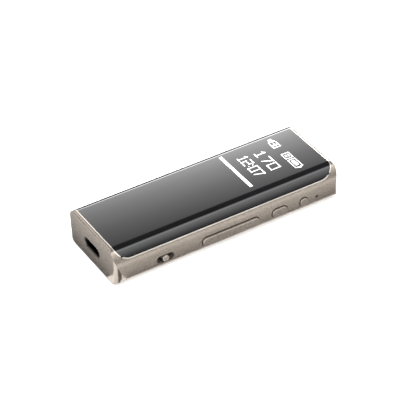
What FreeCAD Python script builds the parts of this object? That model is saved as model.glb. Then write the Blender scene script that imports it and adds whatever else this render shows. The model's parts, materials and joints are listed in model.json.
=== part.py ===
# Handheld recorder with a curved cover glass, an aluminium tub and side keys.
# Frame: origin at the middle of the underside, +X towards the headphone socket end,
# -Y towards the side with the keys, +Z up through the display. Millimetres.
import FreeCAD, Part
import math
import os
import Sketcher

V = FreeCAD.Vector
doc = FreeCAD.newDocument("recorder")

# ---------------------------------------------------------------- driving dimensions
DIMS = [
    # overall
    ("body_len", 76.0), ("body_wid", 29.0), ("body_hgt", 12.5),
    ("plan_rad", 2.0), ("end_top_rad", 1.2), ("end_bot_rad", 0.4),
    ("crown_y", 4.3), ("crown_z", 7.9), ("crown_small", 2.5),
    ("keel_y", 5.8), ("keel_z", 3.9), ("keel_small", 2.9),
    # cover glass
    ("glass_thk", 0.9), ("glass_line", 8.9), ("glass_rim", 0.75), ("glass_rad", 5.0),
    ("bond_gap", 0.32), ("bond_thk", 0.15), ("mask_thk", 0.08),
    ("win_x", 20.25), ("win_len", 20.2), ("win_wid", 19.4),
    # tub
    ("cav_len", 71.0), ("cav_wid", 25.4), ("cav_top_wid", 26.4), ("floor_top", 1.7),
    ("open_len", 60.0), ("open_wid", 12.8), ("recess_len", 70.0), ("recess_wid", 16.0),
    ("cover_thk", 0.9), ("cover_gap", 0.1), ("cover_rad", 3.0),
    # keys, all on one line along the side
    ("key_z", 4.8), ("key_hgt", 2.85), ("key_gap", 0.2), ("key_proud", 0.5),
    ("key_flange_y", 12.65), ("key_back_y", 12.0), ("key_travel", 0.25),
    ("rocker_x", 0.0), ("rocker_len", 19.4), ("rocker_proud", 0.65),
    ("play_x", 16.85), ("play_len", 5.3), ("power_x", 25.35),
    ("slot_x", -22.0), ("slot_len", 5.7), ("slot_hgt", 2.4), ("knob_dia", 2.1),
    ("mic_x", 30.0), ("mic_hole", 0.95),
    # board
    ("board_z", 3.0), ("board_thk", 1.0), ("board_front", 11.45), ("board_back", 12.2), ("board_half", 35.2),
    ("switch_front", 11.55), ("switch_hgt", 1.7), ("switch_len", 4.2), ("switch_dep", 2.5),
    # sockets
    ("usb_z", 6.1), ("usb_wid", 8.94), ("usb_hgt", 3.2), ("usb_len", 7.4), ("usb_face", 37.75),
    ("usb_wall", 0.28), ("usb_cut_wid", 9.26), ("usb_cut_hgt", 3.52),
    ("jack_z", 6.7), ("jack_bore", 1.8), ("jack_nose", 2.5), ("jack_len", 12.0),
    # battery and display
    ("cell_len", 34.0), ("cell_wid", 19.6), ("cell_hgt", 4.2), ("cell_x", -11.0), ("cell_z", 6.2),
    ("oled_len", 23.0), ("oled_wid", 20.6), ("oled_thk", 1.2), ("oled_x", 20.6),
]
sheet = doc.addObject("Spreadsheet::Sheet", "Dims")
for row, (alias, value) in enumerate(DIMS, 1):
    sheet.set(f"A{row}", alias)
    sheet.set(f"B{row}", str(value))
    sheet.setAlias(f"B{row}", alias)
doc.recompute()
D = {a: float(v) for a, v in DIMS}
S = "Dims."


def ex(text):
    """'<<alias>>' style shorthand: every $name becomes a reference to the sheet."""
    return text.replace("$", S)


def val(text):
    if not isinstance(text, str):
        return float(text)
    return float(sheet_number(text))


def sheet_number(text):
    """The number that an expression of sheet cells gives, read back through the document."""
    probe.setExpression("Length", ex("(" + text + ") * 1mm + 1000mm"))
    probe.recompute()
    return float(probe.Length.Value) - 1000.0


probe = doc.addObject("Part::Box", "probe")


def bind(obj, prop, text):
    if isinstance(text, str):
        obj.setExpression(prop, ex(text))
    else:
        target = obj
        names = prop.split(".")
        if len(names) == 1:
            setattr(target, prop, text)
        else:
            obj.setExpression(prop, repr(float(text)))


def place(obj, x=0.0, y=0.0, z=0.0, axis=None, angle=0.0):
    if axis is not None:
        obj.Placement = FreeCAD.Placement(V(0, 0, 0), FreeCAD.Rotation(V(*axis), angle))
    for name, text in (("x", x), ("y", y), ("z", z)):
        obj.setExpression("Placement.Base." + name, ex(text) if isinstance(text, str) else repr(float(text)))
    return obj


# ---------------------------------------------------------------- Part helpers
def box(name, lx, ly, lz, cx=0.0, cy=0.0, z0=0.0):
    """A box centred on cx, cy, standing on z0."""
    o = doc.addObject("Part::Box", name)
    for prop, text in (("Length", lx), ("Width", ly), ("Height", lz)):
        o.setExpression(prop, ex(str(text)))
    place(o, f"({cx}) - ({lx}) / 2", f"({cy}) - ({ly}) / 2", f"{z0}")
    return o


def cyl(name, radius, height, x=0.0, y=0.0, z=0.0, along="Z"):
    o = doc.addObject("Part::Cylinder", name)
    o.setExpression("Radius", ex(str(radius)))
    o.setExpression("Height", ex(str(height)))
    axis, angle = {"Z": (None, 0), "X": ((0, 1, 0), 90), "Y": ((1, 0, 0), -90), "-Y": ((1, 0, 0), 90)}[along]
    place(o, str(x), str(y), str(z), axis, angle)
    return o


def cone(name, r1, r2, height, x=0.0, y=0.0, z=0.0):
    o = doc.addObject("Part::Cone", name)
    o.setExpression("Radius1", ex(str(r1)))
    o.setExpression("Radius2", ex(str(r2)))
    o.setExpression("Height", ex(str(height)))
    place(o, str(x), str(y), str(z))
    return o


def fuse(name, *parts, refine=True):
    o = doc.addObject("Part::MultiFuse", name)
    o.Shapes = list(parts)
    o.Refine = refine
    return o


def common(name, *parts):
    o = doc.addObject("Part::MultiCommon", name)
    o.Shapes = list(parts)
    return o


def cut(name, base, *tools, refine=False):
    o = doc.addObject("Part::Cut", name)
    o.Base = base
    if len(tools) == 1:
        o.Tool = tools[0]
    else:
        o.Tool = fuse(name + "_tools", *tools, refine=False)
    o.Refine = refine
    return o


def fillet(name, base, picks):
    """picks: list of (test, radius alias or number). test takes an edge and says whether it is rounded."""
    doc.recompute()
    o = doc.addObject("Part::Fillet", name)
    o.Base = base
    edges = []
    for i, e in enumerate(base.Shape.Edges, 1):
        for test, radius in picks:
            if test(e):
                r = D[radius] if isinstance(radius, str) else radius
                edges.append((i, r, r))
                break
    o.Edges = edges
    return o


def direction(e):
    a, b = e.Vertexes[0].Point, e.Vertexes[-1].Point
    d = b.sub(a)
    return d.normalize() if d.Length > 1e-9 else V(0, 0, 0)


def mid(e):
    return e.BoundBox.Center


# ---------------------------------------------------------------- sketch helpers
def biarc(ry, rz, small):
    """Large radius and turn of the two tangent arcs that span ry across and rz down."""
    ratio = (ry - small) / (rz - small)
    theta = 2 * (math.pi / 4 - math.atan(ratio))
    return (rz - small) / math.cos(theta) + small, theta


def section_sketch(name, inset):
    """Half-sections joined: the outer cross-section, moved inwards by inset all round."""
    w, hgt = D["body_wid"] / 2 - inset, D["body_hgt"] - inset
    zb = inset
    cy, cz, cs = D["crown_y"] - inset, D["crown_z"] - inset, D["crown_small"] - inset
    ky, kz, ks = D["keel_y"] - inset, D["keel_z"] - inset, D["keel_small"] - inset
    big, th = biarc(cy, cz, cs)
    kbig, kth = biarc(kz, ky, ks)
    a, zs, zk = w - cy, hgt - cz, zb + kz
    p1 = V(a, hgt, 0)
    p2 = V(a + cs * math.sin(th), hgt - cs + cs * math.cos(th), 0)
    m1 = V(a + cs * math.sin(th / 2), hgt - cs + cs * math.cos(th / 2), 0)
    p3 = V(w, zs, 0)
    c2 = V(w - big, zs, 0)
    am = (math.pi / 2 - th) / 2
    m2 = V(c2.x + big * math.cos(am), c2.y + big * math.sin(am), 0)
    p4 = V(w, zk, 0)
    # keel: small arc from the side, then the large arc down to the flat underside
    ksc = V(w - ks, zk, 0)
    p5 = V(ksc.x + ks * math.sin(math.pi / 2 - kth + 0) * 1.0, 0, 0)
    turn = kth
    p5 = V(ksc.x + ks * math.cos(turn), ksc.y - ks * math.sin(turn), 0)
    m4 = V(ksc.x + ks * math.cos(turn / 2), ksc.y - ks * math.sin(turn / 2), 0)
    p6 = V(w - ky, zb, 0)
    kc = V(w - ky, zb + kbig, 0)
    a5 = math.atan2(p5.y - kc.y, p5.x - kc.x)
    am5 = (a5 - math.pi / 2) / 2
    m5 = V(kc.x + kbig * math.cos(am5), kc.y + kbig * math.sin(am5), 0)
    flip = lambda p: V(-p.x, p.y, 0)
    arc = Part.Arc
    sk = doc.addObject("Sketcher::SketchObject", name)
    items = [
        Part.LineSegment(flip(p1), p1),
        arc(p1, m1, p2), arc(p2, m2, p3), Part.LineSegment(p3, p4), arc(p4, m4, p5), arc(p5, m5, p6),
        Part.LineSegment(p6, flip(p6)),
        arc(flip(p6), flip(m5), flip(p5)), arc(flip(p5), flip(m4), flip(p4)), Part.LineSegment(flip(p4), flip(p3)),
        arc(flip(p3), flip(m2), flip(p2)), arc(flip(p2), flip(m1), flip(p1)),
    ]
    for g in items:
        sk.addGeometry(g, False)
    # the flats carry the driving sizes; the arcs between them are tangent by construction
    top, bottom = 0, 6
    sk.addConstraint(Sketcher.Constraint("Horizontal", top))
    sk.addConstraint(Sketcher.Constraint("Horizontal", bottom))
    sk.addConstraint(Sketcher.Constraint("Vertical", 3))
    sk.addConstraint(Sketcher.Constraint("Vertical", 9))
    n = sk.addConstraint(Sketcher.Constraint("DistanceX", 0, 1, 0, 2, 2 * a))
    sk.renameConstraint(n, "flat")
    sk.setExpression("Constraints.flat", ex("$body_wid - 2 * $crown_y"))
    # the sketch plane is turned so that its x is +Y and its y is +Z
    sk.Placement = FreeCAD.Placement(V(0, 0, 0), FreeCAD.Rotation(V(1, 1, 1), 120))
    return sk


def extrude(name, sk, x0, length):
    o = doc.addObject("Part::Extrusion", name)
    o.Base = sk
    o.DirMode = "Custom"
    o.Dir = V(1, 0, 0)
    o.Solid = True
    o.setExpression("LengthFwd", ex(str(length)))
    place(o, str(x0), 0.0, 0.0)
    return o


def sk_rect(sk, wx, wy):
    """A rectangle centred on the sketch's origin, with its two sizes bound to the sheet."""
    a, b = val(wx) / 2, val(wy) / 2
    p = [V(-a, -b, 0), V(a, -b, 0), V(a, b, 0), V(-a, b, 0)]
    k = [sk.addGeometry(Part.LineSegment(p[i], p[(i + 1) % 4]), False) for i in range(4)]
    for i in range(4):
        sk.addConstraint(Sketcher.Constraint("Coincident", k[i], 2, k[(i + 1) % 4], 1))
    for i, kind in enumerate(("Horizontal", "Vertical", "Horizontal", "Vertical")):
        sk.addConstraint(Sketcher.Constraint(kind, k[i]))
    sk.addConstraint(Sketcher.Constraint("Symmetric", k[0], 1, k[2], 1, -1, 1))
    for tag, g, v_, kind in (("wx", k[0], wx, "DistanceX"), ("wy", k[1], wy, "DistanceY")):
        n = sk.addConstraint(Sketcher.Constraint(kind, g, 1, g, 2, val(v_)))
        sk.renameConstraint(n, tag)
        sk.setExpression("Constraints." + tag, ex(str(v_)))


def sk_slot(sk, wx, wy):
    """A stadium along the sketch's x, centred on its origin. wx is end to end."""
    a, r = val(wx) / 2 - val(wy) / 2, val(wy) / 2
    top = sk.addGeometry(Part.LineSegment(V(-a, r, 0), V(a, r, 0)), False)
    right = sk.addGeometry(Part.ArcOfCircle(Part.Circle(V(a, 0, 0), V(0, 0, 1), r), -math.pi / 2, math.pi / 2), False)
    bot = sk.addGeometry(Part.LineSegment(V(a, -r, 0), V(-a, -r, 0)), False)
    left = sk.addGeometry(Part.ArcOfCircle(Part.Circle(V(-a, 0, 0), V(0, 0, 1), r), math.pi / 2, 3 * math.pi / 2), False)
    sk.addConstraint(Sketcher.Constraint("Tangent", top, 2, right, 2))
    sk.addConstraint(Sketcher.Constraint("Tangent", right, 1, bot, 1))
    sk.addConstraint(Sketcher.Constraint("Tangent", bot, 2, left, 2))
    sk.addConstraint(Sketcher.Constraint("Tangent", left, 1, top, 1))
    sk.addConstraint(Sketcher.Constraint("Horizontal", top))
    sk.addConstraint(Sketcher.Constraint("Symmetric", left, 3, right, 3, -1, 1))
    n = sk.addConstraint(Sketcher.Constraint("Radius", right, r))
    sk.renameConstraint(n, "rr")
    sk.setExpression("Constraints.rr", ex(f"({wy}) / 2"))
    n = sk.addConstraint(Sketcher.Constraint("DistanceX", left, 3, right, 3, 2 * a))
    sk.renameConstraint(n, "cc")
    sk.setExpression("Constraints.cc", ex(f"({wx}) - ({wy})"))


def sk_circle(sk, r):
    g = sk.addGeometry(Part.Circle(V(0, 0, 0), V(0, 0, 1), val(r)), False)
    sk.addConstraint(Sketcher.Constraint("Coincident", g, 3, -1, 1))
    n = sk.addConstraint(Sketcher.Constraint("Radius", g, val(r)))
    sk.renameConstraint(n, "rr")
    sk.setExpression("Constraints.rr", ex(str(r)))


PLANE = {"XY": "XY_Plane", "XZ": "XZ_Plane", "YZ": "YZ_Plane"}


def body(label):
    b = doc.addObject("PartDesign::Body", label)
    b.Label = label
    return b


def on(b, name, plane, offset=(0, 0, 0)):
    sk = b.newObject("Sketcher::SketchObject", name)
    ref = [f for f in b.Origin.OriginFeatures if f.Role == PLANE[plane]][0]
    sk.AttachmentSupport = [(ref, "")]
    sk.MapMode = "FlatFace"
    off = FreeCAD.Placement(V(*[val(o) for o in offset]), FreeCAD.Rotation())
    sk.AttachmentOffset = off
    for i, c in enumerate("xyz"):
        if isinstance(offset[i], str):
            sk.setExpression("AttachmentOffset.Base." + c, ex(offset[i]))
    return sk


def pad(b, sk, length, reverse=False, name=None):
    p = b.newObject("PartDesign::Pad", name or sk.Name + "_pad")
    p.Profile = sk
    p.setExpression("Length", ex(str(length)))
    p.Reversed = reverse
    b.Tip = p
    return p


def pocket(b, sk, length=None, reverse=False):
    before = b.Tip
    doc.recompute()
    v0 = b.Shape.Volume
    p = b.newObject("PartDesign::Pocket", sk.Name + "_cut")
    p.Profile = sk
    if length is None:
        p.Type = 1
    else:
        p.setExpression("Length", ex(str(length)))
    p.Reversed = reverse
    b.Tip = p
    doc.recompute()
    if not b.Shape.Volume < v0 - 1e-6:
        raise RuntimeError(f"{b.Label}: {sk.Name} cut nothing")
    return p


def round_edges(b, radius, test, name="round", chamfer=False):
    doc.recompute()
    prev = b.Tip
    names = [f"Edge{i}" for i, e in enumerate(prev.Shape.Edges, 1) if test(e)]
    f = b.newObject("PartDesign::Chamfer" if chamfer else "PartDesign::Fillet", b.Name + "_" + name)
    f.Base = (prev, names)
    f.setExpression("Size" if chamfer else "Radius", ex(str(radius)))
    b.Tip = f
    return f


def prism(label, plane, shape, sizes, length, at=(0, 0, 0), reverse=False):
    """A body with one sketch, centred on the body's origin, padded off the plane, and put at a place."""
    b = body(label)
    sk = on(b, label + "_sk", plane)
    {"rect": sk_rect, "slot": sk_slot, "circle": sk_circle}[shape](sk, *sizes)
    pad(b, sk, length, reverse)
    place(b, *at)
    return b


def slab(label, wx, wy, thk, x, y, z, rad=None):
    """A flat rectangular piece standing on z, with its upright corners rounded if rad is given."""
    b = prism(label, "XY", "rect", (wx, wy), thk, (x, y, z))
    if rad is not None:
        round_edges(b, rad, lambda e: abs(direction(e).z) > 0.99)
    return b


NODES = {}


def node(name, obj):
    NODES[name] = obj
    if obj.TypeId != "PartDesign::Body":
        obj.Label = name
    return obj


# ---------------------------------------------------------------- outer envelope
def is_x(e): return abs(direction(e).x) > 0.999
def is_y(e): return abs(direction(e).y) > 0.999
def is_z(e): return abs(direction(e).z) > 0.999


outer = extrude("outer_prism", section_sketch("outer_section", 0.0), "-$body_len / 2", "$body_len")
plan = fillet("plan_round", box("plan_box", "$body_len", "$body_wid + 4", "$body_hgt + 4", 0, 0, "-2"), [(is_z, "plan_rad")])
plan_true = fillet("plan_true", box("plan_true_box", "$body_len", "$body_wid", "$body_hgt + 4", 0, 0, "-2"), [(is_z, "plan_rad")])
side = fillet("side_round", box("side_box", "$body_len", "$body_wid + 4", "$body_hgt", 0, 0, "0"),
              [(lambda e: is_y(e) and mid(e).z > 6, "end_top_rad"), (lambda e: is_y(e) and mid(e).z < 6, "end_bot_rad")])
envelope = common("envelope", outer, plan_true, side)

# the cover glass takes everything above this line; its lower corners are rounded
glass_zone = fillet("glass_zone", box("glass_zone_box", "$body_len - 2 * $glass_rim", "$body_wid + 10", "14", 0, 0, "$glass_line"),
                    [(lambda e: is_y(e) and mid(e).z < 10, "glass_rad")])
D["glass_rad_in"] = D["glass_rad"] - D["bond_gap"]
glass_part = fillet("glass_part", box("glass_part_box", "$body_len - 2 * $glass_rim - 2 * $bond_gap", "$body_wid + 9", "14", 0, 0, "$glass_line + $bond_gap"),
                    [(lambda e: is_y(e) and mid(e).z < 10, "glass_rad_in")])
inner_a = extrude("inner_prism", section_sketch("inner_section", D["glass_thk"]), "-$body_len / 2", "$body_len")
inner_b = extrude("bond_prism", section_sketch("bond_section", D["glass_thk"] + D["bond_thk"]), "-$body_len / 2", "$body_len")
inner_m = extrude("mask_prism", section_sketch("mask_section", D["glass_thk"] + D["mask_thk"]), "-$body_len / 2", "$body_len")

glass_blank = common("glass_blank", envelope, glass_part)
front_glass = node("front_glass", cut("front_glass", glass_blank, inner_a))

# ---------------------------------------------------------------- tub
cavity = box("cavity", "$cav_len", "$cav_wid", "30", 0, 0, "$floor_top")
cavity_r = fillet("cavity_round", cavity, [(lambda e: is_x(e) and mid(e).z < 3, 0.7), (is_z, 1.0)])
cavity_top = box("cavity_top", "$cav_len", "$cav_top_wid", "20", 0, 0, "$glass_line")
glass_band = cut("glass_band", glass_zone, inner_b)
recess = fillet("recess", box("recess_box", "$recess_len", "$recess_wid", "$cover_thk + 1", 0, 0, "-1"), [(is_z, "cover_rad")])
opening = fillet("opening", box("opening_box", "$open_len", "$open_wid", "6", 0, 0, "-2"), [(is_z, 2.0)])


def side_tool(name, shape, sizes, x, z, y0=-16.0, depth=4.2):
    return prism(name, "XZ", shape, sizes, depth, (x, y0, z), reverse=True)


t_slot = side_tool("t_slot", "slot", ("$slot_len", "$slot_hgt"), "$slot_x", "$key_z")
t_rock = side_tool("t_rock", "slot", ("$rocker_len + 2 * $key_gap", "$key_hgt + 2 * $key_gap"), "$rocker_x", "$key_z")
t_play = side_tool("t_play", "slot", ("$play_len + 2 * $key_gap", "$key_hgt + 2 * $key_gap"), "$play_x", "$key_z")
t_power = side_tool("t_power", "circle", ("$key_hgt / 2 + $key_gap",), "$power_x", "$key_z")
t_mic = side_tool("t_mic", "circle", ("$mic_hole / 2",), "$mic_x", "$key_z")
t_usb = prism("t_usb", "YZ", "slot", ("$usb_cut_wid", "$usb_cut_hgt"), 4.5, ("-39.5", 0.0, "$usb_z"))
t_jack = prism("t_jack", "YZ", "circle", ("$jack_nose + 0.06",), 4.5, ("35.0", 0.0, "$jack_z"))

COVER_SCREWS = [(-32.4, 5.0), (-32.4, -5.0), (32.4, 5.0), (32.4, -5.0)]
BOARD_SCREWS = [(-33.3, 9.8), (-33.3, -8.6), (33.2, 9.8), (33.9, -9.6)]
bosses, holes = [], []
for i, (x, y) in enumerate(COVER_SCREWS):
    bosses.append(cyl(f"boss_c{i}", 1.5, "$board_z - 1.05", x, y, 1.0))
    holes.append(cyl(f"hole_c{i}", 0.72, 3.0, x, y, 0.5))
for i, (x, y) in enumerate(BOARD_SCREWS):
    bosses.append(cyl(f"boss_b{i}", 1.4, "$board_z - 1.2", x, y, 1.2))
    holes.append(cyl(f"hole_b{i}", 0.72, 2.0, x, y, "$board_z - 1.2"))

shell0 = cut("shell_blank", envelope, cavity_r, cavity_top, glass_band)
shell1 = fuse("shell_bossed", shell0, *bosses)
main_frame = cut("main_frame", shell1, recess, opening, t_slot, t_rock, t_play, t_power, t_mic, t_usb, t_jack, *holes)
node("main_frame", main_frame)

# ---------------------------------------------------------------- bond, mask, rear cover
ring_blank = common("ring_blank", envelope, glass_zone)
node("trim_ring", cut("trim_ring", ring_blank, inner_b, glass_part, cavity_top))
bond_blank = common("bond_blank", envelope, glass_part, inner_a)
node("glass_bond", cut("glass_bond", bond_blank, inner_b, cavity_top))

mask_zone = box("mask_zone", "$cav_len - 0.2", "$cav_top_wid - 0.1", "12", 0, 0, "$glass_line + $bond_gap + 0.2")
mask_blank = common("mask_blank", inner_a, glass_part, mask_zone)
mask_window = box("mask_window", "$win_len", "$win_wid", "4", "$win_x", 0, "$body_hgt - 3")
node("glass_mask", cut("glass_mask", mask_blank, inner_m, mask_window))

cover_plate = slab("cover_plate", "$recess_len - 2 * $cover_gap", "$recess_wid - 2 * $cover_gap", "$cover_thk", 0, 0, 0, "cover_rad - 0.1".replace("cover", "$cover"))
cover_cuts = []
for i, (x, y) in enumerate(COVER_SCREWS):
    cover_cuts.append(cone(f"cover_sink{i}", 1.35, 0.85, 0.5, x, y, 0.0))
    cover_cuts.append(cyl(f"cover_hole{i}", 0.85, 1.2, x, y, -0.1))
cover_lip = cut("cover_lip", box("cover_lip_out", "$open_len - 0.2", "$open_wid - 0.2", 0.6, 0, 0, "$cover_thk"),
                box("cover_lip_in", "$open_len - 2.2", "$open_wid - 2.2", 2.0, 0, 0, "$cover_thk - 0.5"))
cover_lip_r = fillet("cover_lip_round", cover_lip, [(lambda e: is_z(e) and abs(mid(e).x) > 29.5, 1.9)])
node("rear_cover", cut("rear_cover", fuse("cover_whole", cover_plate, cover_lip_r), *cover_cuts))


def screw(prefix, x, y, z_head, head_r, head_h, shaft_r, shaft_len, sunk):
    """A cross-recess screw. sunk: head at the bottom, pointing up; otherwise a pan head on top, pointing down."""
    if sunk:
        head = cone(prefix + "_head", head_r, 0.8, head_h, x, y, z_head)
        shaft = cyl(prefix + "_shaft", shaft_r, shaft_len, x, y, z_head)
        b1 = box(prefix + "_x1", 1.5, 0.3, 0.35, x, y, z_head - 0.1)
        b2 = box(prefix + "_x2", 0.3, 1.5, 0.35, x, y, z_head - 0.1)
    else:
        head = cyl(prefix + "_head", head_r, head_h, x, y, z_head)
        shaft = cyl(prefix + "_shaft", shaft_r, shaft_len, x, y, f"({z_head}) - ({shaft_len}) + 0.2")
        b1 = box(prefix + "_x1", 1.4, 0.3, 0.5, x, y, f"({z_head}) + ({head_h}) - 0.35")
        b2 = box(prefix + "_x2", 0.3, 1.4, 0.5, x, y, f"({z_head}) + ({head_h}) - 0.35")
    return cut(prefix, fuse(prefix + "_body", head, shaft), b1, b2)


def group(name, items):
    o = doc.addObject("Part::Compound", name)
    o.Links = items
    return node(name, o)


group("cover_screws", [screw(f"cs{i}", x, y, 0.05, 1.3, 0.45, 0.7, 2.7, True) for i, (x, y) in enumerate(COVER_SCREWS)])
group("board_screws", [screw(f"bs{i}", x, y, "$board_z + $board_thk", 1.25, 0.7, 0.7, 2.4, False) for i, (x, y) in enumerate(BOARD_SCREWS)])

# ---------------------------------------------------------------- board
board_blank = slab("board_blank", "2 * $board_half", "$board_front + $board_back", "$board_thk", 0, "($board_back - $board_front) / 2", "$board_z", 0.9)
node("main_board", cut("main_board", board_blank, *[cyl(f"board_hole{i}", 0.8, 3.0, x, y, "$board_z - 1") for i, (x, y) in enumerate(BOARD_SCREWS)]))
BT = "$board_z + $board_thk"

# ---------------------------------------------------------------- USB-C receptacle
b = prism("usb_shell_blank", "YZ", "slot", ("$usb_wid", "$usb_hgt"), "$usb_len", ("-$usb_face", 0, "$usb_z"))
hollow = prism("usb_hollow", "YZ", "slot", ("$usb_wid - 2 * $usb_wall", "$usb_hgt - 2 * $usb_wall"), "$usb_len - 0.5", ("-$usb_face - 0.2", 0, "$usb_z"))
legs = [box(f"usb_leg{i}", 1.2, 0.5, "$usb_z - $board_z - $board_thk", x, y, BT) for i, (x, y) in enumerate([(-34.2, 3.9), (-34.2, -3.9), (-31.2, 3.9), (-31.2, -3.9)])]
node("usb_c_shell", cut("usb_c_shell", fuse("usb_shell_legs", b, *legs), hollow))
tongue = slab("usb_tongue_blade", 4.9, 6.6, 0.7, "-$usb_face + $usb_len - 0.7 - 2.45 - 0.1", 0, "$usb_z - 0.35", 0.5)
tongue_base = prism("usb_tongue_base", "YZ", "slot", ("$usb_wid - 2 * $usb_wall - 0.04", "$usb_hgt - 2 * $usb_wall - 0.04"), 1.3, ("-$usb_face + $usb_len - 0.7 - 1.32", 0, "$usb_z"))
pins_top = [box(f"usb_pin_t{i}", 3.6, 0.25, 0.06, "-$usb_face + 4.0", -2.75 + 0.5 * i, "$usb_z + 0.35 - 0.03") for i in range(12)]
pins_bot = [box(f"usb_pin_b{i}", 3.6, 0.25, 0.06, "-$usb_face + 4.0", -2.75 + 0.5 * i, "$usb_z - 0.35 - 0.03") for i in range(12)]
group("usb_c_contacts", pins_top + pins_bot)
pin_beds = [box(f"usb_bed_t{i}", 3.6, 0.25, 0.06, "-$usb_face + 4.0", -2.75 + 0.5 * i, "$usb_z + 0.35 - 0.03") for i in range(12)]
pin_beds += [box(f"usb_bed_b{i}", 3.6, 0.25, 0.06, "-$usb_face + 4.0", -2.75 + 0.5 * i, "$usb_z - 0.35 - 0.03") for i in range(12)]
node("usb_c_tongue", cut("usb_c_tongue", fuse("usb_tongue_body", tongue, tongue_base), *pin_beds))

# ---------------------------------------------------------------- keys and their switches
FRONT = "-$switch_front"
KEY_FACE = "-$body_wid / 2 - $key_proud"
FLANGE_BACK = "-$key_back_y"


def at_front(e):
    """The outline of a cap's outer face, which lies in its body's own XZ plane."""
    return abs(e.BoundBox.YMax) < 1e-4 and abs(e.BoundBox.YMin) < 1e-4


def key(name, shape, sizes, x, proud, fl_x, fl_z, fl_front):
    """A cap through the wall and a wider flange behind it, rounded where it stands proud."""
    b = prism(name + "_cap", "XZ", shape, sizes, f"$body_wid / 2 + ({proud}) - $key_back_y", (x, f"-$body_wid / 2 - ({proud})", "$key_z"), reverse=True)
    round_edges(b, 0.3, at_front)
    fl = box(name + "_flange", fl_x, f"({fl_front}) - $key_back_y", fl_z, x, f"-(({fl_front}) + $key_back_y) / 2", f"$key_z - ({fl_z}) / 2")
    return node(name, fuse(name, b, fl))


key("play_button", "slot", ("$play_len", "$key_hgt"), "$play_x", "$key_proud", "$play_len + 0.8", "$key_hgt + 0.8", "$key_flange_y")
key("power_button", "circle", ("$key_hgt / 2",), "$power_x", "$key_proud", "$key_hgt + 0.8", "$key_hgt + 0.8", "$key_flange_y")

rk = prism("rocker_cap", "XZ", "slot", ("$rocker_len", "$key_hgt"), "$body_wid / 2 + $rocker_proud - $key_back_y", ("$rocker_x", "-$body_wid / 2 - $rocker_proud", "$key_z"), reverse=True)
round_edges(rk, 0.35, at_front)
rk_flange = box("rocker_flange", "$rocker_len + 0.8", 0.4, "$key_hgt + 0.8", "$rocker_x", "-$key_back_y - 0.2", "$key_z - $key_hgt / 2 - 0.4")
rk_tab = box("rocker_tab", 1.6, 1.1, 0.8, "$rocker_x", "-$key_back_y + 0.45", "$board_z + $board_thk + 0.4")
node("volume_rocker", cut("volume_rocker", fuse("rocker_solid", rk, rk_flange, rk_tab), cyl("rocker_bore", 0.35, 3, "$rocker_x", -11.45, "$key_z - 1")))
node("rocker_pin", cyl("rocker_pin", 0.3, 1.55, "$rocker_x", -11.45, BT))
br = [box("bracket_base", 3.2, 2.6, 0.25, "$rocker_x", -10.6, BT), box("bracket_top", 3.2, 2.6, 0.2, "$rocker_x", -10.6, f"{BT} + 1.35"),
      box("bracket_back", 3.2, 0.25, 1.55, "$rocker_x", -9.425, BT)]
node("rocker_bracket", cut("rocker_bracket", fuse("bracket_solid", *br), cyl("bracket_bore", 0.3, 3, "$rocker_x", -11.45, f"{BT} - 1")))

LEVER = 6.5
SWITCHES = {"vol_up": f"$rocker_x + {LEVER}", "vol_down": f"$rocker_x - {LEVER}", "play": "$play_x", "power": "$power_x"}
for name, x in SWITCHES.items():
    can = box(name + "_can_blank", "$switch_len", "$switch_dep", "$switch_hgt", x, "-$switch_front + $switch_dep / 2", BT)
    bed = box(name + "_can_bed", 1.5, 1.1, 0.8, x, f"{FRONT} + 0.45", f"{BT} + 0.3")
    node(name + "_switch", cut(name + "_switch", can, bed))
    nub = box(name + "_nub_blank", 1.4, "$key_back_y - 0.02 - 10.95", 0.7, x, "-($key_back_y - 0.02 + 10.95) / 2", f"{BT} + 0.35")
    node(name + "_plunger", fillet(name + "_plunger", nub, [(lambda e: is_z(e) and mid(e).y < -11.5, 0.15)]))

# ---------------------------------------------------------------- slider
knob_b = prism("knob_pin", "XZ", "circle", ("$knob_dia / 2",), "$body_wid / 2 + 0.45 - 12.6", ("$slot_x", "-$body_wid / 2 - 0.45", "$key_z"), reverse=True)
round_edges(knob_b, 0.25, at_front)
node("slider_knob", knob_b)
plate = box("plate_box", "$slot_len + 4.2", 0.35, 3.6, "$slot_x", -12.425, "$key_z - 1.8")
node("slider_plate", plate)
fork = box("fork_box", 1.6, 2.2, 0.9, "$slot_x", "-12.25 + 1.1", f"{BT} + 0.45")
node("slider_fork", fork)
sw = box("slide_can_blank", 9.0, 3.0, 2.0, "$slot_x", "$switch_dep / 2 - 11.25", BT)
sw_bed = box("slide_can_bed", 5.2, 3.0, 1.1, "$slot_x", -11.1, f"{BT} + 0.35")
node("slide_switch", cut("slide_switch", sw, sw_bed))

# ---------------------------------------------------------------- microphone
gasket = prism("mic_gasket_ring", "XZ", "circle", (1.3,), 0.5, ("$mic_x", -12.7, "$key_z"), reverse=True)
gasket_h = prism("mic_gasket_hole", "XZ", "circle", (0.5,), 1.5, ("$mic_x", -13.2, "$key_z"), reverse=True)
node("mic_gasket", cut("mic_gasket", gasket, gasket_h))
mic = box("mic_box", 3.5, 0.7, 2.65, "$mic_x", -11.85, "$key_z - 1.3")
mic_port = prism("mic_port", "XZ", "circle", (0.35,), 1.0, ("$mic_x", -12.6, "$key_z"), reverse=True)
node("mic_capsule", cut("mic_capsule", mic, mic_port))
node("mic_flex", fuse("mic_flex", box("mic_flex_up", 3.0, 0.15, 2.0, "$mic_x", -11.425, "$board_z + $board_thk"), box("mic_flex_pad", 3.0, 1.6, 0.15, "$mic_x", -10.55, BT)))

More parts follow.
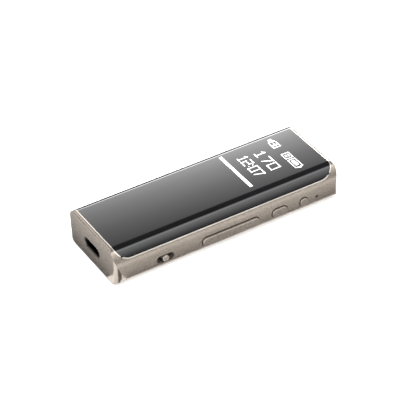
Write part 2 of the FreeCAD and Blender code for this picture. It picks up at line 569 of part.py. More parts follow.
# ---------------------------------------------------------------- headphone socket
jack_box = box("jack_box", "$jack_len", 6.0, 5.2, "35.45 - $jack_len / 2", 0, BT)
jack_nose = cyl("jack_nose_cyl", "$jack_nose", 1.9, 35.4, 0, "$jack_z", "X")
jack_bore = cyl("jack_bore_cyl", "$jack_bore", 16, 24.4, 0, "$jack_z", "X")
node("headphone_jack", cut("headphone_jack", fuse("jack_solid", jack_box, jack_nose), jack_bore))
ring = cyl("ring_out", "$jack_nose", 0.65, 37.3, 0, "$jack_z", "X")
ring_in = cyl("ring_in", "$jack_bore + 0.02", 3, 36, 0, "$jack_z", "X")
node("jack_ring", cut("jack_ring", ring, ring_in))
group("jack_contacts", [box(f"jack_pad{i}", 0.9, 0.25, 3.0, x, y, BT) for i, (x, y) in enumerate([(26.0, 3.125), (30.0, 3.125), (34.0, 3.125), (26.0, -3.125), (31.0, -3.125)])])

# ---------------------------------------------------------------- battery, shield, chips
node("battery_cell", slab("battery_cell", "$cell_len", "$cell_wid", "$cell_hgt", "$cell_x", 0, "$cell_z", 1.5))
NODES["battery_cell"].Label = "battery_cell"
node("battery_pad", slab("battery_pad", 26, 14, 0.6, -12, 0, "$cell_z - 0.6", 1.0))
can_o = box("shield_out", 28, 16, 1.6, -12, 0, BT)
can_i = box("shield_in", 27.7, 15.7, 1.6, -12, 0, f"{BT} - 0.15")
node("shield_can", cut("shield_can", can_o, can_i))
node("cell_board", box("cell_board_box", 2.0, 12.0, 1.0, "$cell_x + $cell_len / 2 + 1.0", 0, "$cell_z + 1.4"))
for name, sx, sy, sz, x, y in (("processor", 8, 8, 0.9, -19, 0), ("memory_chip", 7, 9, 0.8, -9, 0), ("audio_codec", 5, 5, 0.85, -1.8, 2.6),
                               ("charge_chip", 3.2, 3.2, 0.75, -1.8, -4.0), ("clock_crystal", 3.2, 2.5, 0.7, -13.6, 6.0),
                               ("battery_connector", 3.0, 4.6, 1.6, 13.2, 7.6), ("display_connector", 2.4, 9.0, 0.9, 13.2, -1.2)):
    node(name, slab(name, sx, sy, sz, x, y, BT, 0.12))
group("capacitors", [box(f"cap{i}", 1.0, 0.5, 0.5, x, y, BT) for i, (x, y) in enumerate(
    [(-24, 5), (-24, 3), (-24, -3), (-24, -5), (-14.4, -5.4), (-13, -5.4), (18, 4.2), (18, 5.4), (20, 4.8), (8.6, 3), (8.6, 4.4), (8.6, -4), (-29.6, 8), (-28, 8)])])
group("inductors", [box(f"ind{i}", 2.5, 2.0, 1.2, x, y, BT) for i, (x, y) in enumerate([(5.2, 10.8), (9.0, 10.8), (-28.2, -7.0)])])

# ---------------------------------------------------------------- display
node("oled_panel", slab("oled_panel", "$oled_len", "$oled_wid", "$oled_thk", "$oled_x", 0, "$body_hgt - $glass_thk - 0.15 - $oled_thk", 0.4))
node("display_bond", slab("display_bond", "$win_len - 0.2", "$win_wid - 0.2", 0.13, "$win_x", 0, "$body_hgt - $glass_thk - 0.14", 0.3))
fx = [box("flex_drop", 0.15, 7.0, "5.35", 8.6, -1.2, f"{BT} + 0.9"), box("flex_top", 3.6, 7.0, 0.15, 10.325, -1.2, f"{BT} + 0.9 + 5.2"),
      box("flex_foot", 4.9, 7.0, 0.15, 10.975, -1.2, f"{BT} + 0.9")]
node("display_flex", fuse("display_flex", *fx))


def lead(name, y0, y1):
    """A battery lead: straight runs joined by tangent arcs, swept with a round section."""
    r = 0.4
    z0, z1 = 8.0, 6.2
    path = [V(8.0, y0, z0), V(9.4, y0, z0), V(10.4, y0 + 0.1, 6.9), V(11.9, y1, 5.0 - 0.1)]
    cyls = []
    wire = []
    pts = [V(8.0, y0, 7.9), V(9.6, y0, 7.9), V(10.4, y1, 4.9), V(11.7, y1, 4.9)]
    segs, last = [], pts[0]
    for i in (1, 2):
        p, a, c = pts[i], pts[i - 1], pts[i + 1]
        u, w = a.sub(p).normalize(), c.sub(p).normalize()
        half = u.getAngle(w) / 2
        cutback = 0.6
        rad = cutback * math.tan(half)
        s_, e_ = p + u * cutback, p + w * cutback
        centre = p + (u + w).normalize() * (cutback / math.cos(half))
        m_ = centre + p.sub(centre).normalize() * rad
        segs += [Part.LineSegment(last, s_).toShape(), Part.Arc(s_, m_, e_).toShape()]
        last = e_
    segs.append(Part.LineSegment(last, pts[-1]).toShape())
    spine = Part.Wire(segs)
    prof = Part.Wire([Part.Circle(pts[0], V(1, 0, 0), r).toShape()])
    o = doc.addObject("Part::Feature", name)
    o.Shape = spine.makePipeShell([prof], True, False)
    return node(name, o)


lead("lead_positive", 4.2, 6.6)
lead("lead_negative", 5.4, 8.6)

# ---------------------------------------------------------------- write
doc.recompute()
doc.removeObject("probe")
doc.recompute()
for o in doc.Objects:
    if "Invalid" in o.State or "Error" in o.State:
        raise RuntimeError(f"{o.Name}: {o.State}")
os.makedirs("parts", exist_ok=True)
for name, obj in NODES.items():
    sh = obj.Shape
    if sh.isNull() or not sh.isValid() or not sh.Solids:
        raise RuntimeError(f"{name}: bad shape")
for name, obj in NODES.items():
    obj.Shape.exportStep(f"parts/{name}.step")
    bb = obj.Shape.BoundBox
    print(f"{name}: {len(obj.Shape.Solids)} solids, {obj.Shape.Volume:.2f} mm3, "
          f"x {bb.XMin:.2f}..{bb.XMax:.2f} y {bb.YMin:.2f}..{bb.YMax:.2f} z {bb.ZMin:.2f}..{bb.ZMax:.2f}")
print(len(NODES), "nodes")
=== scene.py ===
import bpy, bmesh, json, math
from mathutils import Vector, Matrix


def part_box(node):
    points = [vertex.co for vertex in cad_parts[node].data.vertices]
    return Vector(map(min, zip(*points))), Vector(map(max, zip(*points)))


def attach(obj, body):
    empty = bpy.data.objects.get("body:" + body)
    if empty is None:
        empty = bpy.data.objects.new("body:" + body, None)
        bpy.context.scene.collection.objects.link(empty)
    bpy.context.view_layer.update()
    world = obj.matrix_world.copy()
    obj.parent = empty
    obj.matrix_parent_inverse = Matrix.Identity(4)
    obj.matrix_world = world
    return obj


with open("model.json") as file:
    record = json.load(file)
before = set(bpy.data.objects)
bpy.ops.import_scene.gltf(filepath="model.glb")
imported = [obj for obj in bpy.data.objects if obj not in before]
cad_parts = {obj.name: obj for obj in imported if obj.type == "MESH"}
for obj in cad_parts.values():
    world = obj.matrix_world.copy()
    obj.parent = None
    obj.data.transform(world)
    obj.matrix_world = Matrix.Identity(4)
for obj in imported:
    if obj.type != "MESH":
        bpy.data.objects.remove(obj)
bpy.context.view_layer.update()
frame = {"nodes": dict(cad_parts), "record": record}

nodes = frame["nodes"]
MM = 0.001


# ------------------------------------------------------------------ materials
def new_mat(name):
    m = bpy.data.materials.new(name)
    m.use_nodes = True
    nt = m.node_tree
    bsdf = nt.nodes["Principled BSDF"]
    return m, nt, bsdf


def coords(nt, scale=(1, 1, 1), kind="Object"):
    tc = nt.nodes.new("ShaderNodeTexCoord")
    mp = nt.nodes.new("ShaderNodeMapping")
    mp.inputs["Scale"].default_value = scale
    nt.links.new(tc.outputs[kind], mp.inputs["Vector"])
    return mp.outputs["Vector"]


def noise(nt, vec, scale, detail=3.0, rough=0.55):
    n = nt.nodes.new("ShaderNodeTexNoise")
    n.inputs["Scale"].default_value = scale
    n.inputs["Detail"].default_value = detail
    n.inputs["Roughness"].default_value = rough
    nt.links.new(vec, n.inputs["Vector"])
    return n.outputs["Fac"]


def ramp(nt, fac, stops):
    r = nt.nodes.new("ShaderNodeValToRGB")
    els = r.color_ramp.elements
    while len(els) < len(stops):
        els.new(0.5)
    for e, (p, c) in zip(els, stops):
        e.position = p
        e.color = (*c, 1) if len(c) == 3 else c
    nt.links.new(fac, r.inputs["Fac"])
    return r.outputs["Color"]


def span(nt, fac, lo, hi, a=0.0, b=1.0):
    r = nt.nodes.new("ShaderNodeMapRange")
    for i, v in ((1, lo), (2, hi), (3, a), (4, b)):
        r.inputs[i].default_value = v
    nt.links.new(fac, r.inputs[0])
    return r.outputs[0]


def bump(nt, bsdf, height, strength, distance):
    b = nt.nodes.new("ShaderNodeBump")
    b.inputs["Strength"].default_value = strength
    b.inputs["Distance"].default_value = distance
    nt.links.new(height, b.inputs["Height"])
    nt.links.new(b.outputs["Normal"], bsdf.inputs["Normal"])


def blasted_metal(name, dark, light, rough, grain=5200.0, stretch=(1, 1, 1), edge=0.35, metallic=0.86):
    """Bead-blasted, anodised aluminium: a fine even grain, slow colour drift, a painted highlight that lightens sharp
    edges, and painted shade that darkens crevices.
    """
    m, nt, b = new_mat(name)
    v = coords(nt, stretch)
    fine = noise(nt, v, grain, 2.0)
    slow = noise(nt, v, 60.0, 1.0)
    base = ramp(nt, span(nt, slow, 0.3, 0.7), [(0.0, dark), (1.0, light)])
    speck = ramp(nt, span(nt, fine, 0.25, 0.75), [(0.0, (0.9, 0.9, 0.9)), (1.0, (1.0, 1.0, 1.0))])
    mix = nt.nodes.new("ShaderNodeMix")
    mix.data_type = "RGBA"
    mix.blend_type = "MULTIPLY"
    mix.inputs[0].default_value = 1.0
    nt.links.new(base, mix.inputs[6])
    nt.links.new(speck, mix.inputs[7])
    # painted highlight: sharp convex edges are lightened towards a brighter copy of the metal colour
    geo = nt.nodes.new("ShaderNodeNewGeometry")
    painted_edge_highlight = span(nt, geo.outputs["Pointiness"], 0.52, 0.60, 0.0, edge)
    mix2 = nt.nodes.new("ShaderNodeMix")
    mix2.data_type = "RGBA"
    nt.links.new(painted_edge_highlight, mix2.inputs[0])
    nt.links.new(mix.outputs[2], mix2.inputs[6])
    mix2.inputs[7].default_value = (min(1, light[0] * 1.25), min(1, light[1] * 1.25), min(1, light[2] * 1.25), 1)
    # painted shade: within 0.7 mm of other surfaces the colour darkens towards near-black
    ao = nt.nodes.new("ShaderNodeAmbientOcclusion")
    ao.samples = 4
    ao.inputs["Distance"].default_value = 0.0007
    shade = span(nt, ao.outputs["AO"], 0.25, 0.75, 0.06, 1.0)
    mix3 = nt.nodes.new("ShaderNodeMix")
    mix3.data_type = "RGBA"
    nt.links.new(shade, mix3.inputs[0])
    mix3.inputs[6].default_value = (0.012, 0.010, 0.009, 1)
    nt.links.new(mix2.outputs[2], mix3.inputs[7])
    nt.links.new(mix3.outputs[2], b.inputs["Base Color"])
    b.inputs["Metallic"].default_value = metallic
    nt.links.new(span(nt, fine, 0.2, 0.8, rough - 0.04, rough + 0.05), b.inputs["Roughness"])
    bump(nt, b, fine, 0.05, 0.00002)
    return m


def plain(name, dark, light, rough, metallic=0.0, grain=900.0, bumps=0.08, coat=0.0, painted_shade_reach=0.0):
    """painted_shade_reach: how far in metres the surface looks round itself for neighbours; near ones paint shade into
    its colour, darkening it towards black.
    """
    m, nt, b = new_mat(name)
    v = coords(nt)
    n = noise(nt, v, grain, 4.0)
    col = ramp(nt, span(nt, n, 0.3, 0.7), [(0.0, dark), (1.0, light)])
    if painted_shade_reach:
        # painted shade: the colour darkens towards black where other surfaces are near
        ao = nt.nodes.new("ShaderNodeAmbientOcclusion")
        ao.samples = 6
        ao.inputs["Distance"].default_value = painted_shade_reach
        mix = nt.nodes.new("ShaderNodeMix")
        mix.data_type = "RGBA"
        nt.links.new(span(nt, ao.outputs["AO"], 0.55, 1.0), mix.inputs[0])
        mix.inputs[6].default_value = (0.004, 0.004, 0.004, 1)
        nt.links.new(col, mix.inputs[7])
        col = mix.outputs[2]
    nt.links.new(col, b.inputs["Base Color"])
    nt.links.new(span(nt, n, 0.2, 0.8, max(0.02, rough - 0.05), rough + 0.06), b.inputs["Roughness"])
    b.inputs["Metallic"].default_value = metallic
    b.inputs["Coat Weight"].default_value = coat
    bump(nt, b, n, bumps, 0.00003)
    return m


frame_mat = blasted_metal("frame_blasted", (0.325, 0.280, 0.236), (0.365, 0.318, 0.271), 0.27)
key_mat = blasted_metal("key_satin", (0.37, 0.322, 0.274), (0.42, 0.370, 0.318), 0.25, grain=6500.0, edge=0.5)
knob_mat = blasted_metal("knob_turned", (0.50, 0.45, 0.39), (0.60, 0.54, 0.475), 0.24, grain=4200.0, stretch=(1, 6, 1), edge=0.5)
cover_mat = blasted_metal("cover_blasted", (0.37, 0.325, 0.28), (0.43, 0.382, 0.33), 0.38)
# the rim is lighter and less metallic than the frame: partly its bare cut finish, partly a painted highlight along the
# rim
rim_mat = blasted_metal("rim_cut_and_highlight", (0.62, 0.575, 0.52), (0.72, 0.67, 0.61), 0.30, grain=3000.0, stretch=(1, 1, 8), edge=0.2, metallic=0.7)

# cover glass: black behind, polished in front, with very faint smears in its roughness
glass_mat, nt, b = new_mat("glass_polished")
v = coords(nt)
smear = noise(nt, v, 42.0, 5.0, 0.6)
nt.links.new(ramp(nt, span(nt, smear, 0.35, 0.65), [(0.0, (0.0035, 0.0035, 0.004)), (1.0, (0.006, 0.006, 0.0068))]), b.inputs["Base Color"])
nt.links.new(span(nt, smear, 0.3, 0.7, 0.035, 0.06), b.inputs["Roughness"])
b.inputs["IOR"].default_value = 1.62
b.inputs["Coat Weight"].default_value = 0.5
b.inputs["Coat Roughness"].default_value = 0.02

black_mat = plain("black_moulded", (0.010, 0.010, 0.011), (0.020, 0.020, 0.021), 0.45, grain=2500.0)
bond_mat = plain("bond_black", (0.006, 0.006, 0.006), (0.012, 0.012, 0.012), 0.5)
steel_mat = plain("steel_plated", (0.55, 0.55, 0.56), (0.66, 0.66, 0.67), 0.24, metallic=1.0, grain=1500.0)
# painted shade: a darker copy of the plated steel, with more shade painted near other surfaces, for parts sunk in the
# openings
shaded_steel_mat = plain("steel_painted_shade", (0.30, 0.29, 0.28), (0.40, 0.39, 0.38), 0.22, metallic=0.95, grain=1500.0, painted_shade_reach=0.004)
gold_mat = plain("gold_plated", (0.72, 0.50, 0.20), (0.83, 0.62, 0.28), 0.22, metallic=1.0)
ring_mat = plain("ring_polished", (0.72, 0.60, 0.42), (0.80, 0.68, 0.50), 0.16, metallic=1.0, grain=1200.0)
screw_mat = plain("screw_plated", (0.38, 0.36, 0.34), (0.48, 0.46, 0.44), 0.30, metallic=1.0)
board_mat = plain("board_mask", (0.008, 0.030, 0.022), (0.014, 0.045, 0.034), 0.28, grain=1400.0, coat=0.3)
chip_mat = plain("chip_moulded", (0.014, 0.014, 0.015), (0.026, 0.026, 0.028), 0.5, grain=4000.0)
white_mat = plain("nylon_white", (0.62, 0.61, 0.57), (0.72, 0.71, 0.67), 0.45)
film_mat = plain("film_amber", (0.32, 0.14, 0.03), (0.45, 0.22, 0.05), 0.25, coat=0.3)
cell_mat = plain("cell_foil", (0.30, 0.31, 0.33), (0.42, 0.43, 0.45), 0.28, metallic=0.7, grain=500.0)
foam_mat = plain("foam_cells", (0.03, 0.03, 0.032), (0.06, 0.06, 0.065), 0.85, grain=5000.0, bumps=0.5)
ceramic_mat = plain("ceramic_fired", (0.33, 0.24, 0.15), (0.46, 0.35, 0.24), 0.4)
ferrite_mat = plain("ferrite_pressed", (0.06, 0.06, 0.065), (0.11, 0.11, 0.12), 0.6, grain=3000.0)
red_mat = plain("wire_red", (0.45, 0.02, 0.015), (0.6, 0.035, 0.025), 0.4)
wire_mat = plain("wire_black", (0.012, 0.012, 0.012), (0.022, 0.022, 0.022), 0.4)
panel_mat = plain("panel_glass", (0.004, 0.004, 0.005), (0.007, 0.007, 0.008), 0.08)

BY_SLOT = {
    "frame_metal": frame_mat, "key_metal": key_mat, "cover_metal": cover_mat, "cover_glass": glass_mat, "mask_ink": black_mat,
    "bond": bond_mat, "rim_metal": rim_mat, "screw_steel": screw_mat, "can_steel": steel_mat, "board": board_mat, "chip": chip_mat,
    "contact_gold": gold_mat, "black_plastic": black_mat, "white_plastic": white_mat, "flex_film": film_mat,
    "cell_wrap": cell_mat, "foam": foam_mat, "oled": panel_mat, "clear_bond": panel_mat, "ceramic_part": ceramic_mat,
    "ferrite": ferrite_mat, "ring_metal": ring_mat, "lead_red": red_mat, "lead_black": wire_mat,
}
slot_of = {s["node"]: s["material_slot"] for s in frame["record"]["subparts"]}
for name, obj in nodes.items():
    mat = BY_SLOT[slot_of[name]]
    if name == "slider_knob":
        mat = knob_mat
    # the USB shell and microphone capsule sit in openings and get the steel with painted shade
    if name in ("usb_c_shell", "mic_capsule"):
        mat = shaded_steel_mat
    for s in obj.material_slots:
        s.material = mat
    if not obj.material_slots:
        obj.data.materials.append(mat)


# ------------------------------------------------------------------ light pieces drawn on the display and the side
def emit_mat(name, low, high, strength):
    """A lit area of the display: its light varies a little from dot to dot."""
    m, nt, b = new_mat(name)
    v = coords(nt)
    dots = noise(nt, v, 5200.0, 1.0)
    b.inputs["Base Color"].default_value = (0, 0, 0, 1)
    nt.links.new(ramp(nt, span(nt, dots, 0.3, 0.7), [(0.0, low), (1.0, high)]), b.inputs["Base Color"])
    nt.links.new(ramp(nt, span(nt, dots, 0.3, 0.7), [(0.0, low), (1.0, high)]), b.inputs["Emission Color"])
    b.inputs["Emission Strength"].default_value = strength
    b.inputs["Roughness"].default_value = 0.4
    return m


lit_mat = emit_mat("display_lit", (0.86, 0.87, 0.88), (1.0, 1.0, 1.0), 1.0)
ink_mat = plain("mark_ink", (0.16, 0.14, 0.12), (0.22, 0.195, 0.17), 0.5, grain=3000.0)


def poly_piece(name, polys, z0, thick, mat, body="case", to=None):
    """Flat closed outlines (lists of x, y in mm) given a small thickness and joined into one mesh. to maps a local point to the model."""
    bm = bmesh.new()
    for ring in polys:
        lo = [bm.verts.new(Vector(to(x, y, z0)) * MM) for x, y in ring]
        hi = [bm.verts.new(Vector(to(x, y, z0 + thick)) * MM) for x, y in ring]
        n = len(ring)
        bm.faces.new(hi)
        bm.faces.new(lo[::-1])
        for i in range(n):
            bm.faces.new((lo[i], lo[(i + 1) % n], hi[(i + 1) % n], hi[i]))
    bmesh.ops.recalc_face_normals(bm, faces=bm.faces)
    me = bpy.data.meshes.new(name)
    bm.to_mesh(me)
    bm.free()
    o = bpy.data.objects.new(name, me)
    bpy.context.scene.collection.objects.link(o)
    me.materials.append(mat)
    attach(o, body)
    return o


def rect(x0, y0, x1, y1):
    return [(x0, y0), (x1, y0), (x1, y1), (x0, y1)]


def frame_rect(x0, y0, x1, y1, t):
    """The four bars of an outline."""
    return [rect(x0, y0, x1, y0 + t), rect(x0, y1 - t, x1, y1), rect(x0, y0 + t, x0 + t, y1 - t), rect(x1 - t, y0 + t, x1, y1 - t)]


# digits are drawn as strokes on a 4 by 6 grid
STROKES = {
    "0": [[(0, 0), (4, 0), (4, 6), (0, 6), (0, 0)]],
    "1": [[(0.9, 4.8), (2.1, 6), (2.1, 0)], [(0.7, 0), (3.5, 0)]],
    "2": [[(0, 6), (4, 6), (4, 3.1), (0, 3.1), (0, 0), (4, 0)]],
    "3": [[(0, 6), (4, 6), (4, 0), (0, 0)], [(0.8, 3.1), (4, 3.1)]],
    "4": [[(3, 0), (3, 6), (0, 2.1), (4.2, 2.1)]],
    "5": [[(4, 6), (0, 6), (0, 3.4), (4, 3.4), (4, 0), (0, 0)]],
    "6": [[(4, 6), (0, 6), (0, 0), (4, 0), (4, 3.3), (0, 3.3)]],
    "7": [[(0, 6), (4, 6), (1.6, 0)]],
    "8": [[(0, 0), (4, 0), (4, 6), (0, 6), (0, 0)], [(0, 3.1), (4, 3.1)]],
    "9": [[(4, 2.9), (0, 2.9), (0, 6), (4, 6), (4, 0), (0, 0)]],
}


def stroke(a, b, t):
    ax, ay = a
    bx, by = b
    dx, dy = bx - ax, by - ay
    n = math.hypot(dx, dy)
    ux, uy = dx / n * t / 2, dy / n * t / 2
    ax, ay, bx, by = ax - ux, ay - uy, bx + ux, by + uy
    return [(ax + uy, ay - ux), (bx + uy, by - ux), (bx - uy, by + ux), (ax - uy, ay + ux)]


def digits(text, u0, v0, width, height, t, gap=1.5):
    """Stroked digits filling a box whose lower left corner is u0, v0."""
    cells = []
    for ch in text:
        cells.append(0.9 if ch in ".:" else 4.0)
    total = sum(cells) + gap * (len(cells) - 1)
    sx, sy = width / total, height / 6.0
    out, u = [], u0
    for ch, c in zip(text, cells):
        if ch in ".:":
            h = 0.55 * t
            ys = [v0 + 0.5 * t] if ch == "." else [v0 + 1.7 * sy, v0 + 4.4 * sy]
            for y in ys:
                out.append(rect(u + 0.45 * sx - h, y - h, u + 0.45 * sx + h, y + h))
        else:
            for line in STROKES[ch]:
                for a, b_ in zip(line, line[1:]):
                    out.append(stroke((u + a[0] * sx, v0 + a[1] * sy), (u + b_[0] * sx, v0 + b_[1] * sy), t))
        u += (c + gap) * sx
    return out


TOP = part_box("front_glass")[1][2] / MM
screen = lambda u, v, z: (v, -u, z)          # u reads to the right (-Y), v reads up (+X)
lit = []
lit.append(rect(-9.4, 10.75, 8.3, 11.75))                                    # progress bar
lit += digits("170", -5.3, 20.5, 10.0, 3.1, 0.34, gap=1.6)                  # counter
lit += digits("12:07", -6.0, 15.0, 10.9, 3.1, 0.34)                          # running time
lit += [rect(-8.8, 27.6, -8.1, 28.8), [(-8.1, 27.6), (-7.2, 26.9), (-7.2, 29.5), (-8.1, 28.8)]]   # loudspeaker
lit += digits("38", -6.7, 27.1, 2.5, 2.3, 0.3)
lit += frame_rect(-0.3, 26.9, 2.7, 29.6, 0.28)                               # card
lit += [rect(0.55, 27.7, 1.85, 28.05), rect(0.55, 28.5, 1.85, 28.85)]
lit += frame_rect(3.3, 26.9, 8.0, 29.6, 0.28) + [rect(4.1, 27.7, 6.9, 28.8), rect(8.0, 27.7, 8.45, 28.8)]  # battery
poly_piece("display_marks", lit, TOP - 0.004, 0.012, lit_mat, to=screen)

# small printed marks beside the controls
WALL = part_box("rear_cover")
side_y = -14.5
side = lambda u, v, z: (u, side_y - z, v)
KZ = 4.82
marks = []
marks += [rect(10.5, KZ - 0.07, 11.3, KZ + 0.07), rect(10.83, KZ - 0.4, 10.97, KZ - 0.07), rect(10.83, KZ + 0.07, 10.97, KZ + 0.4)]    # plus
marks += [rect(-11.4, KZ - 0.06, -10.7, KZ + 0.06)]                            # minus
marks += [rect(-26.35, KZ - 0.7, -26.2, KZ + 0.7), rect(-26.95, KZ - 0.05, -26.6, KZ + 0.05), rect(-26.95, KZ - 0.6, -26.6, KZ - 0.5), rect(-26.95, KZ + 0.5, -26.6, KZ + 0.6)]
marks += [rect(-18.1, KZ - 0.3, -17.98, KZ + 0.3), rect(-17.75, KZ - 0.3, -17.63, KZ + 0.3)]
ring = []
for i in range(20):
    a0, a1 = 2 * math.pi * i / 24 + 1.95, 2 * math.pi * (i + 1) / 24 + 1.95
    ring.append([(22.2 + 0.5 * math.cos(a0), KZ + 0.5 * math.sin(a0)), (22.2 + 0.5 * math.cos(a1), KZ + 0.5 * math.sin(a1)),
                 (22.2 + 0.38 * math.cos(a1), KZ + 0.38 * math.sin(a1)), (22.2 + 0.38 * math.cos(a0), KZ + 0.38 * math.sin(a0))])
marks += ring + [rect(22.14, KZ + 0.2, 22.26, KZ + 0.65)]
marks += [rect(28.5, KZ - 0.05, 29.2, KZ + 0.05)]
poly_piece("side_marks", marks, -0.100, 0.125, ink_mat, to=side)

# ------------------------------------------------------------------ floor, light, camera
def stage_plane(name, size, z, colour):
    me = bpy.data.meshes.new(name)
    s = size / 2
    me.from_pydata([(-s, -s, z), (s, -s, z), (s, s, z), (-s, s, z)], [], [(0, 1, 2, 3)])
    o = bpy.data.objects.new(name, me)
    bpy.context.scene.collection.objects.link(o)
    m, nt, b = new_mat(name + "_mat")
    b.inputs["Base Color"].default_value = (*colour, 1)
    b.inputs["Roughness"].default_value = 0.9
    b.inputs["Specular IOR Level"].default_value = 0.1
    b.inputs["Emission Color"].default_value = (1, 1, 1, 1)
    b.inputs["Emission Strength"].default_value = 0.35
    me.materials.append(m)
    return o


floor = stage_plane("floor", 6.0, -0.0001, (0.93, 0.93, 0.93))

world = bpy.data.worlds.new("studio")
bpy.context.scene.world = world
world.use_nodes = True
bg = world.node_tree.nodes["Background"]
bg.inputs["Color"].default_value = (1.0, 1.0, 1.0, 1)
bg.inputs["Strength"].default_value = 0.07


def area(name, pos, target, sx, sy, power, colour=(1, 1, 1), spread=math.pi):
    l = bpy.data.lights.new(name, "AREA")
    l.shape = "RECTANGLE"
    l.size, l.size_y = sx, sy
    l.energy = power
    l.color = colour
    l.spread = spread
    o = bpy.data.objects.new(name, l)
    o.location = pos
    d = Vector(target) - Vector(pos)
    o.rotation_euler = d.to_track_quat("-Z", "Y").to_euler()
    bpy.context.scene.collection.objects.link(o)
    return o


area("key_soft", (-0.15, -0.3, 0.65), (0, 0, 0), 1.0, 1.0, 16.0).visible_glossy = False


def card(name, corners, axis, lo, hi, stops, side=None):
    """A studio card that lights only what mirrors it: its brightness runs along one axis, between lo and hi metres."""
    me = bpy.data.meshes.new(name)
    me.from_pydata(corners, [], [(0, 1, 2, 3)])
    o = bpy.data.objects.new(name, me)
    bpy.context.scene.collection.objects.link(o)
    m = bpy.data.materials.new(name + "_mat")
    m.use_nodes = True
    nt = m.node_tree
    nt.nodes.clear()
    out = nt.nodes.new("ShaderNodeOutputMaterial")
    em = nt.nodes.new("ShaderNodeEmission")
    tc = nt.nodes.new("ShaderNodeTexCoord")
    sep = nt.nodes.new("ShaderNodeSeparateXYZ")
    nt.links.new(tc.outputs["Object"], sep.inputs[0])
    fac = span(nt, sep.outputs[axis], lo, hi)
    top = max(v for _, v in stops)
    col = ramp(nt, fac, [((z - lo) / (hi - lo), (v / top,) * 3) for z, v in stops])
    em.inputs["Strength"].default_value = top
    if side:
        k = span(nt, sep.outputs[0], side[0], side[1], side[2], side[3])
        mul = nt.nodes.new("ShaderNodeMath")
        mul.operation = "MULTIPLY"
        nt.links.new(k, mul.inputs[0])
        mul.inputs[1].default_value = top
        nt.links.new(mul.outputs[0], em.inputs["Strength"])
    nt.links.new(col, em.inputs["Color"])
    nt.links.new(em.outputs[0], out.inputs["Surface"])
    me.materials.append(m)
    o.visible_camera = o.visible_diffuse = o.visible_shadow = False
    return o


# behind: dark at the floor, a bright strip, then a gradient that fades upwards
card("card_back", [(-0.5, 0.17, 0.0), (0.7, 0.17, 0.0), (0.7, 0.17, 0.45), (-0.5, 0.17, 0.45)], 2, 0.0, 0.45,
     [(0.0, 0.01), (0.070, 0.01), (0.088, 5.5), (0.124, 7.0), (0.140, 2.9), (0.150, 1.6), (0.160, 0.9), (0.172, 0.38), (0.20, 0.12), (0.45, 0.02)],
     side=(-0.05, 0.13, 0.38, 1.60))
# in front: a low soft box, dark at its foot and above
card("card_front", [(-1.2, -0.6, 0.0), (1.6, -0.6, 0.0), (1.6, -0.6, 1.3), (-1.2, -0.6, 1.3)], 2, 0.0, 1.3,
     [(0.0, 0.03), (0.08, 0.08), (0.18, 0.55), (0.31, 1.4), (0.47, 2.4), (0.90, 2.2), (1.20, 0.3), (1.30, 0.05)])
card("card_left", [(-0.35, -0.3, 0.0), (-0.35, 0.5, 0.0), (-0.35, 0.5, 0.4), (-0.35, -0.3, 0.4)], 2, 0.0, 0.4,
     [(0.0, 1.2), (0.15, 2.2), (0.4, 0.6)])

# low cards just over the floor, which the metal walls mirror: lighter away from the walls, with a light and a dark wedge at the near corner
LOW = 0.0006
CORNER = (-0.0362, -0.0127)


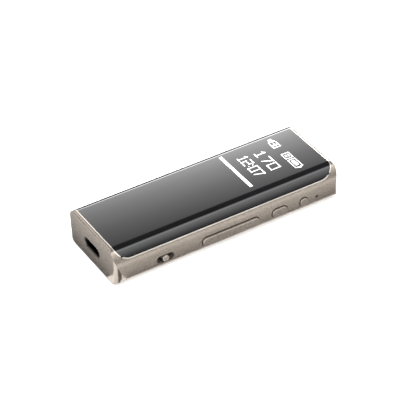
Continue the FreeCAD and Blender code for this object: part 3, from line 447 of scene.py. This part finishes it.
def wedge(name, a0, a1, radius, lo, hi):
    """A fan about the near corner, from angle a0 to a1 in degrees; brightness runs outwards from lo to hi."""
    n = 10
    pts = [(CORNER[0], CORNER[1], LOW)]
    for i in range(n + 1):
        a = math.radians(a0 + (a1 - a0) * i / n)
        pts.append((CORNER[0] + radius * math.cos(a), CORNER[1] + radius * math.sin(a), LOW))
    me = bpy.data.meshes.new(name)
    me.from_pydata(pts, [], [(0, i + 1, i + 2) for i in range(n)])
    o = bpy.data.objects.new(name, me)
    bpy.context.scene.collection.objects.link(o)
    m = bpy.data.materials.new(name + "_mat")
    m.use_nodes = True
    nt = m.node_tree
    nt.nodes.clear()
    out = nt.nodes.new("ShaderNodeOutputMaterial")
    em = nt.nodes.new("ShaderNodeEmission")
    tc = nt.nodes.new("ShaderNodeTexCoord")
    ds = nt.nodes.new("ShaderNodeVectorMath")
    ds.operation = "DISTANCE"
    nt.links.new(tc.outputs["Object"], ds.inputs[0])
    ds.inputs[1].default_value = (CORNER[0], CORNER[1], LOW)
    nt.links.new(span(nt, ds.outputs["Value"], 0.0, 0.012, lo, hi), em.inputs["Strength"])
    nt.links.new(em.outputs[0], out.inputs["Surface"])
    me.materials.append(m)
    o.visible_camera = o.visible_diffuse = o.visible_shadow = False


card("low_front", [(-0.034, -0.06, LOW), (0.10, -0.06, LOW), (0.10, -0.0145, LOW), (-0.034, -0.0145, LOW)], 1, -0.06, -0.0145,
     [(-0.06, 0.80), (-0.026, 0.72), (-0.0205, 0.50), (-0.0165, 0.28), (-0.0145, 0.16)])
card("low_left", [(-0.09, -0.008, LOW), (-0.038, -0.008, LOW), (-0.038, 0.06, LOW), (-0.09, 0.06, LOW)], 0, -0.09, -0.038,
     [(-0.09, 1.05), (-0.045, 0.86), (-0.0415, 0.48), (-0.039, 0.20), (-0.038, 0.12)])
card("low_back", [(-0.036, 0.0146, LOW), (0.6, 0.0146, LOW), (0.6, 0.17, LOW), (-0.036, 0.17, LOW)], 1, 0.0146, 0.17,
     [(0.0146, 0.01), (0.17, 0.01)])
wedge("low_light", 150, 206, 0.03, 1.2, 2.2)
wedge("low_dark", 212, 272, 0.03, 0.02, 0.06)

L = 0.076
AZ, EL, ROLL = math.radians(29.22486), math.radians(36.92434), math.radians(-3.03455)
D_, CX, CY, K = 7.329183, 0.0228094, -0.0750192, 255.64219
f = Vector((math.sin(AZ) * math.cos(EL), math.cos(AZ) * math.cos(EL), -math.sin(EL)))
r = Vector((math.cos(AZ), -math.sin(AZ), 0))
u = r.cross(f)
r2 = math.cos(ROLL) * r + math.sin(ROLL) * u
u2 = -math.sin(ROLL) * r + math.cos(ROLL) * u
cam = bpy.data.cameras.new("camera")
cam.sensor_width = 36.0
cam.lens = 36.0 * K * D_ / 400.0
cam.clip_start = 0.01
cam.clip_end = 50
co = bpy.data.objects.new("camera", cam)
bpy.context.scene.collection.objects.link(co)
pos = (-CX * r2 - CY * u2 - D_ * f) * L
co.matrix_world = Matrix(((r2.x, u2.x, -f.x, pos.x), (r2.y, u2.y, -f.y, pos.y), (r2.z, u2.z, -f.z, pos.z), (0, 0, 0, 1)))
bpy.context.scene.camera = co
bpy.context.scene.view_settings.view_transform = "Standard"
